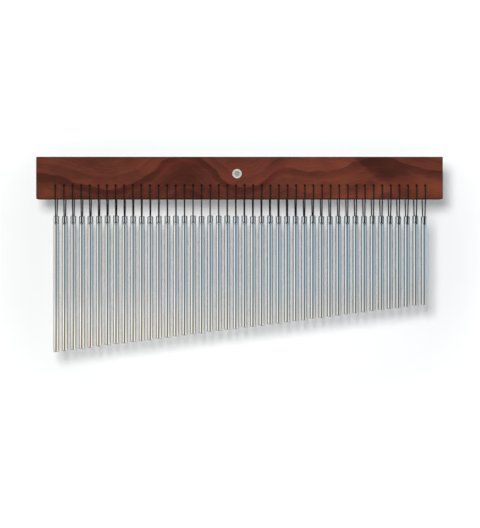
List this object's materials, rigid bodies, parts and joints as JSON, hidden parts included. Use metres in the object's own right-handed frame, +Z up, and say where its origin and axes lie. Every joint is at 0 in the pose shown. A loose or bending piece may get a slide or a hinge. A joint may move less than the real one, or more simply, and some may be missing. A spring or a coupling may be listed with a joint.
{
  "type": "bar chimes",
  "caption": "Row of graduated solid metal bars, each hung on its own tied cord loop below a wooden mantle with a metal-lined bore for a stand's rod.",
  "frame": {"origin": "on the axis of the stand bore, at the middle of the mantle's thickness", "axes": "+X along the row towards the shortest bar, +Y from the front face to the back, +Z up"},
  "size_m": [0.648, 0.0268, 0.3117],
  "materials": {
    "mantle_wood": "oiled reddish walnut",
    "bar_metal": "polished rod",
    "cord": "black braided nylon",
    "grommet_metal": "nickel plated"
  },
  "bodies": {
    "mantle": {"mantle": "mantle_wood", "stand_grommet": "grommet_metal", "grommet_washer": "grommet_metal", "cord_loops_01_04": "cord", "cord_loops_05_08": "cord", "cord_loops_09_12": "cord", "cord_loops_13_16": "cord", "cord_loops_17_20": "cord", "cord_loops_21_24": "cord", "cord_loops_25_28": "cord", "cord_loops_29_32": "cord", "cord_loops_33_36": "cord", "cord_loops_37_40": "cord", "cord_loops_41_44": "cord"},
    "bar_01": {"bar_01": "bar_metal"},
    "bar_02": {"bar_02": "bar_metal"},
    "bar_03": {"bar_03": "bar_metal"},
    "bar_04": {"bar_04": "bar_metal"},
    "bar_05": {"bar_05": "bar_metal"},
    "bar_06": {"bar_06": "bar_metal"},
    "bar_07": {"bar_07": "bar_metal"},
    "bar_08": {"bar_08": "bar_metal"},
    "bar_09": {"bar_09": "bar_metal"},
    "bar_10": {"bar_10": "bar_metal"},
    "bar_11": {"bar_11": "bar_metal"},
    "bar_12": {"bar_12": "bar_metal"},
    "bar_13": {"bar_13": "bar_metal"},
    "bar_14": {"bar_14": "bar_metal"},
    "bar_15": {"bar_15": "bar_metal"},
    "bar_16": {"bar_16": "bar_metal"},
    "bar_17": {"bar_17": "bar_metal"},
    "bar_18": {"bar_18": "bar_metal"},
    "bar_19": {"bar_19": "bar_metal"},
    "bar_20": {"bar_20": "bar_metal"},
    "bar_21": {"bar_21": "bar_metal"},
    "bar_22": {"bar_22": "bar_metal"},
    "bar_23": {"bar_23": "bar_metal"},
    "bar_24": {"bar_24": "bar_metal"},
    "bar_25": {"bar_25": "bar_metal"},
    "bar_26": {"bar_26": "bar_metal"},
    "bar_27": {"bar_27": "bar_metal"},
    "bar_28": {"bar_28": "bar_metal"},
    "bar_29": {"bar_29": "bar_metal"},
    "bar_30": {"bar_30": "bar_metal"},
    "bar_31": {"bar_31": "bar_metal"},
    "bar_32": {"bar_32": "bar_metal"},
    "bar_33": {"bar_33": "bar_metal"},
    "bar_34": {"bar_34": "bar_metal"},
    "bar_35": {"bar_35": "bar_metal"},
    "bar_36": {"bar_36": "bar_metal"},
    "bar_37": {"bar_37": "bar_metal"},
    "bar_38": {"bar_38": "bar_metal"},
    "bar_39": {"bar_39": "bar_metal"},
    "bar_40": {"bar_40": "bar_metal"},
    "bar_41": {"bar_41": "bar_metal"},
    "bar_42": {"bar_42": "bar_metal"},
    "bar_43": {"bar_43": "bar_metal"},
    "bar_44": {"bar_44": "bar_metal"}
  },
  "joints": [
    {"name": "bar_01_swing", "type": "hinge", "parent": "mantle", "child": "bar_01", "pos_m": [-0.28925, 0, -0.0401], "axis": [1, 0, 0], "range_deg": [-45, 45], "deforming": ["cord_loops_01_04"]},
    {"name": "bar_02_swing", "type": "hinge", "parent": "mantle", "child": "bar_02", "pos_m": [-0.27555, 0, -0.0401], "axis": [1, 0, 0], "range_deg": [-45, 45], "deforming": ["cord_loops_01_04"]},
    {"name": "bar_03_swing", "type": "hinge", "parent": "mantle", "child": "bar_03", "pos_m": [-0.26185, 0, -0.0401], "axis": [1, 0, 0], "range_deg": [-45, 45], "deforming": ["cord_loops_01_04"]},
    {"name": "bar_04_swing", "type": "hinge", "parent": "mantle", "child": "bar_04", "pos_m": [-0.24815, 0, -0.0401], "axis": [1, 0, 0], "range_deg": [-45, 45], "deforming": ["cord_loops_01_04"]},
    {"name": "bar_05_swing", "type": "hinge", "parent": "mantle", "child": "bar_05", "pos_m": [-0.23445, 0, -0.0401], "axis": [1, 0, 0], "range_deg": [-45, 45], "deforming": ["cord_loops_05_08"]},
    {"name": "bar_06_swing", "type": "hinge", "parent": "mantle", "child": "bar_06", "pos_m": [-0.22075, 0, -0.0401], "axis": [1, 0, 0], "range_deg": [-45, 45], "deforming": ["cord_loops_05_08"]},
    {"name": "bar_07_swing", "type": "hinge", "parent": "mantle", "child": "bar_07", "pos_m": [-0.20705, 0, -0.0401], "axis": [1, 0, 0], "range_deg": [-45, 45], "deforming": ["cord_loops_05_08"]},
    {"name": "bar_08_swing", "type": "hinge", "parent": "mantle", "child": "bar_08", "pos_m": [-0.19335, 0, -0.0401], "axis": [1, 0, 0], "range_deg": [-45, 45], "deforming": ["cord_loops_05_08"]},
    {"name": "bar_09_swing", "type": "hinge", "parent": "mantle", "child": "bar_09", "pos_m": [-0.17965, 0, -0.0401], "axis": [1, 0, 0], "range_deg": [-45, 45], "deforming": ["cord_loops_09_12"]},
    {"name": "bar_10_swing", "type": "hinge", "parent": "mantle", "child": "bar_10", "pos_m": [-0.16595, 0, -0.0401], "axis": [1, 0, 0], "range_deg": [-45, 45], "deforming": ["cord_loops_09_12"]},
    {"name": "bar_11_swing", "type": "hinge", "parent": "mantle", "child": "bar_11", "pos_m": [-0.15225, 0, -0.0401], "axis": [1, 0, 0], "range_deg": [-45, 45], "deforming": ["cord_loops_09_12"]},
    {"name": "bar_12_swing", "type": "hinge", "parent": "mantle", "child": "bar_12", "pos_m": [-0.13855, 0, -0.0401], "axis": [1, 0, 0], "range_deg": [-45, 45], "deforming": ["cord_loops_09_12"]},
    {"name": "bar_13_swing", "type": "hinge", "parent": "mantle", "child": "bar_13", "pos_m": [-0.12485, 0, -0.0401], "axis": [1, 0, 0], "range_deg": [-45, 45], "deforming": ["cord_loops_13_16"]},
    {"name": "bar_14_swing", "type": "hinge", "parent": "mantle", "child": "bar_14", "pos_m": [-0.11115, 0, -0.0401], "axis": [1, 0, 0], "range_deg": [-45, 45], "deforming": ["cord_loops_13_16"]},
    {"name": "bar_15_swing", "type": "hinge", "parent": "mantle", "child": "bar_15", "pos_m": [-0.09745, 0, -0.0401], "axis": [1, 0, 0], "range_deg": [-45, 45], "deforming": ["cord_loops_13_16"]},
    {"name": "bar_16_swing", "type": "hinge", "parent": "mantle", "child": "bar_16", "pos_m": [-0.08375, 0, -0.0401], "axis": [1, 0, 0], "range_deg": [-45, 45], "deforming": ["cord_loops_13_16"]},
    {"name": "bar_17_swing", "type": "hinge", "parent": "mantle", "child": "bar_17", "pos_m": [-0.07005, 0, -0.0401], "axis": [1, 0, 0], "range_deg": [-45, 45], "deforming": ["cord_loops_17_20"]},
    {"name": "bar_18_swing", "type": "hinge", "parent": "mantle", "child": "bar_18", "pos_m": [-0.05635, 0, -0.0401], "axis": [1, 0, 0], "range_deg": [-45, 45], "deforming": ["cord_loops_17_20"]},
    {"name": "bar_19_swing", "type": "hinge", "parent": "mantle", "child": "bar_19", "pos_m": [-0.04265, 0, -0.0401], "axis": [1, 0, 0], "range_deg": [-45, 45], "deforming": ["cord_loops_17_20"]},
    {"name": "bar_20_swing", "type": "hinge", "parent": "mantle", "child": "bar_20", "pos_m": [-0.02895, 0, -0.0401], "axis": [1, 0, 0], "range_deg": [-45, 45], "deforming": ["cord_loops_17_20"]},
    {"name": "bar_21_swing", "type": "hinge", "parent": "mantle", "child": "bar_21", "pos_m": [-0.01525, 0, -0.0401], "axis": [1, 0, 0], "range_deg": [-45, 45], "deforming": ["cord_loops_21_24"]},
    {"name": "bar_22_swing", "type": "hinge", "parent": "mantle", "child": "bar_22", "pos_m": [-0.00155, 0, -0.0401], "axis": [1, 0, 0], "range_deg": [-45, 45], "deforming": ["cord_loops_21_24"]},
    {"name": "bar_23_swing", "type": "hinge", "parent": "mantle", "child": "bar_23", "pos_m": [0.01215, 0, -0.0401], "axis": [1, 0, 0], "range_deg": [-45, 45], "deforming": ["cord_loops_21_24"]},
    {"name": "bar_24_swing", "type": "hinge", "parent": "mantle", "child": "bar_24", "pos_m": [0.02585, 0, -0.0401], "axis": [1, 0, 0], "range_deg": [-45, 45], "deforming": ["cord_loops_21_24"]},
    {"name": "bar_25_swing", "type": "hinge", "parent": "mantle", "child": "bar_25", "pos_m": [0.03955, 0, -0.0401], "axis": [1, 0, 0], "range_deg": [-45, 45], "deforming": ["cord_loops_25_28"]},
    {"name": "bar_26_swing", "type": "hinge", "parent": "mantle", "child": "bar_26", "pos_m": [0.05325, 0, -0.0401], "axis": [1, 0, 0], "range_deg": [-45, 45], "deforming": ["cord_loops_25_28"]},
    {"name": "bar_27_swing", "type": "hinge", "parent": "mantle", "child": "bar_27", "pos_m": [0.06695, 0, -0.0401], "axis": [1, 0, 0], "range_deg": [-45, 45], "deforming": ["cord_loops_25_28"]},
    {"name": "bar_28_swing", "type": "hinge", "parent": "mantle", "child": "bar_28", "pos_m": [0.08065, 0, -0.0401], "axis": [1, 0, 0], "range_deg": [-45, 45], "deforming": ["cord_loops_25_28"]},
    {"name": "bar_29_swing", "type": "hinge", "parent": "mantle", "child": "bar_29", "pos_m": [0.09435, 0, -0.0401], "axis": [1, 0, 0], "range_deg": [-45, 45], "deforming": ["cord_loops_29_32"]},
    {"name": "bar_30_swing", "type": "hinge", "parent": "mantle", "child": "bar_30", "pos_m": [0.10805, 0, -0.0401], "axis": [1, 0, 0], "range_deg": [-45, 45], "deforming": ["cord_loops_29_32"]},
    {"name": "bar_31_swing", "type": "hinge", "parent": "mantle", "child": "bar_31", "pos_m": [0.12175, 0, -0.0401], "axis": [1, 0, 0], "range_deg": [-45, 45], "deforming": ["cord_loops_29_32"]},
    {"name": "bar_32_swing", "type": "hinge", "parent": "mantle", "child": "bar_32", "pos_m": [0.13545, 0, -0.0401], "axis": [1, 0, 0], "range_deg": [-45, 45], "deforming": ["cord_loops_29_32"]},
    {"name": "bar_33_swing", "type": "hinge", "parent": "mantle", "child": "bar_33", "pos_m": [0.14915, 0, -0.0401], "axis": [1, 0, 0], "range_deg": [-45, 45], "deforming": ["cord_loops_33_36"]},
    {"name": "bar_34_swing", "type": "hinge", "parent": "mantle", "child": "bar_34", "pos_m": [0.16285, 0, -0.0401], "axis": [1, 0, 0], "range_deg": [-45, 45], "deforming": ["cord_loops_33_36"]},
    {"name": "bar_35_swing", "type": "hinge", "parent": "mantle", "child": "bar_35", "pos_m": [0.17655, 0, -0.0401], "axis": [1, 0, 0], "range_deg": [-45, 45], "deforming": ["cord_loops_33_36"]},
    {"name": "bar_36_swing", "type": "hinge", "parent": "mantle", "child": "bar_36", "pos_m": [0.19025, 0, -0.0401], "axis": [1, 0, 0], "range_deg": [-45, 45], "deforming": ["cord_loops_33_36"]},
    {"name": "bar_37_swing", "type": "hinge", "parent": "mantle", "child": "bar_37", "pos_m": [0.20395, 0, -0.0401], "axis": [1, 0, 0], "range_deg": [-45, 45], "deforming": ["cord_loops_37_40"]},
    {"name": "bar_38_swing", "type": "hinge", "parent": "mantle", "child": "bar_38", "pos_m": [0.21765, 0, -0.0401], "axis": [1, 0, 0], "range_deg": [-45, 45], "deforming": ["cord_loops_37_40"]},
    {"name": "bar_39_swing", "type": "hinge", "parent": "mantle", "child": "bar_39", "pos_m": [0.23135, 0, -0.0401], "axis": [1, 0, 0], "range_deg": [-45, 45], "deforming": ["cord_loops_37_40"]},
    {"name": "bar_40_swing", "type": "hinge", "parent": "mantle", "child": "bar_40", "pos_m": [0.24505, 0, -0.0401], "axis": [1, 0, 0], "range_deg": [-45, 45], "deforming": ["cord_loops_37_40"]},
    {"name": "bar_41_swing", "type": "hinge", "parent": "mantle", "child": "bar_41", "pos_m": [0.25875, 0, -0.0401], "axis": [1, 0, 0], "range_deg": [-45, 45], "deforming": ["cord_loops_41_44"]},
    {"name": "bar_42_swing", "type": "hinge", "parent": "mantle", "child": "bar_42", "pos_m": [0.27245, 0, -0.0401], "axis": [1, 0, 0], "range_deg": [-45, 45], "deforming": ["cord_loops_41_44"]},
    {"name": "bar_43_swing", "type": "hinge", "parent": "mantle", "child": "bar_43", "pos_m": [0.28615, 0, -0.0401], "axis": [1, 0, 0], "range_deg": [-45, 45], "deforming": ["cord_loops_41_44"]},
    {"name": "bar_44_swing", "type": "hinge", "parent": "mantle", "child": "bar_44", "pos_m": [0.29985, 0, -0.0401], "axis": [1, 0, 0], "range_deg": [-45, 45], "deforming": ["cord_loops_41_44"]}
  ]
}
